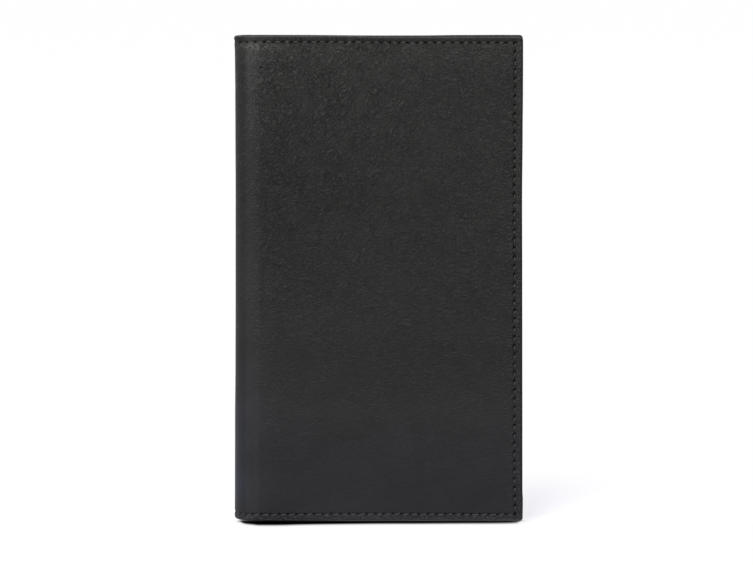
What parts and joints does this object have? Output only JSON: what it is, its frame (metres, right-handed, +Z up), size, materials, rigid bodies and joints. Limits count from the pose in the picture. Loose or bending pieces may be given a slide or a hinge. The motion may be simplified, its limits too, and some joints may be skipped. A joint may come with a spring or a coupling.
{
  "type": "checkbook cover",
  "caption": "Slim book-style leather checkbook cover with a rounded fold, a check pocket, stepped card slots and a clear divider; it opens flat.",
  "frame": {"origin": "middle of the closed cover's base, on the plane it stands on", "axes": "+Z up along the fold, +X from the fold to the open fore-edge, +Y from the front cover to the back cover; at rest the cover is closed"},
  "size_m": [0.1016, 0.0126, 0.1715],
  "materials": {
    "outer_leather": "soft full-grain charcoal leather, satin",
    "pocket_leather": "thin smooth charcoal leather, satin",
    "binding_leather": "thin pared leather, satin",
    "lining": "fine twill lining, matt",
    "thread": "bonded polyester thread, low sheen",
    "board": "leatherboard, matt",
    "fleece": "pressed fleece, matt",
    "clear_vinyl": "clear flexible sheet, glossy"
  },
  "bodies": {
    "back_cover": {"back_leather": "outer_leather", "back_board": "board", "back_fleece": "fleece", "back_lining": "lining", "check_pocket": "pocket_leather", "back_edge_stitching": "thread", "back_inner_stitching": "thread", "check_pocket_stitching": "thread"},
    "fold_back": {"fold_leather_back": "outer_leather", "fold_fleece_back": "fleece", "fold_lining_back": "lining", "fold_stitching_back": "thread"},
    "fold_middle": {"fold_leather_middle": "outer_leather", "fold_fleece_middle": "fleece", "fold_lining_middle": "lining", "fold_stitching_middle": "thread"},
    "fold_front": {"fold_leather_front": "outer_leather", "fold_fleece_front": "fleece", "fold_lining_front": "lining", "fold_stitching_front": "thread"},
    "front_cover": {"front_leather": "outer_leather", "front_board": "board", "front_fleece": "fleece", "front_lining": "lining", "slip_pocket": "pocket_leather", "card_slot_1": "pocket_leather", "card_slot_2": "pocket_leather", "card_slot_3": "pocket_leather", "card_slot_4": "pocket_leather", "front_edge_stitching": "thread", "front_inner_stitching": "thread", "card_slot_stitching": "thread"},
    "divider": {"divider_sheet": "clear_vinyl", "divider_binding": "binding_leather", "divider_stitching": "thread"}
  },
  "joints": [
    {"name": "crease_back", "type": "hinge", "parent": "back_cover", "child": "fold_back", "pos_m": [-0.04694, 0.00577, 0], "axis": [0, 0, -1], "range_deg": [0, 45]},
    {"name": "crease_middle_back", "type": "hinge", "parent": "fold_back", "child": "fold_middle", "pos_m": [-0.05032, 0.00239, 0], "axis": [0, 0, -1], "range_deg": [0, 45]},
    {"name": "crease_middle_front", "type": "hinge", "parent": "fold_middle", "child": "fold_front", "pos_m": [-0.05032, -0.00239, 0], "axis": [0, 0, -1], "range_deg": [0, 45]},
    {"name": "cover_fold", "type": "hinge", "parent": "fold_front", "child": "front_cover", "pos_m": [-0.04694, -0.00577, 0], "axis": [0, 0, -1], "range_deg": [0, 45]},
    {"name": "divider_turn", "type": "hinge", "parent": "fold_front", "child": "divider", "pos_m": [-0.04733, -0.00168, 0], "axis": [0, 0, -1], "range_deg": [-45, 0]}
  ],
  "couplings": [
    {"joint": "crease_back", "follows": "cover_fold", "ratio": 1},
    {"joint": "crease_middle_back", "follows": "cover_fold", "ratio": 1},
    {"joint": "crease_middle_front", "follows": "cover_fold", "ratio": 1},
    {"joint": "divider_turn", "follows": "cover_fold", "ratio": -1}
  ]
}
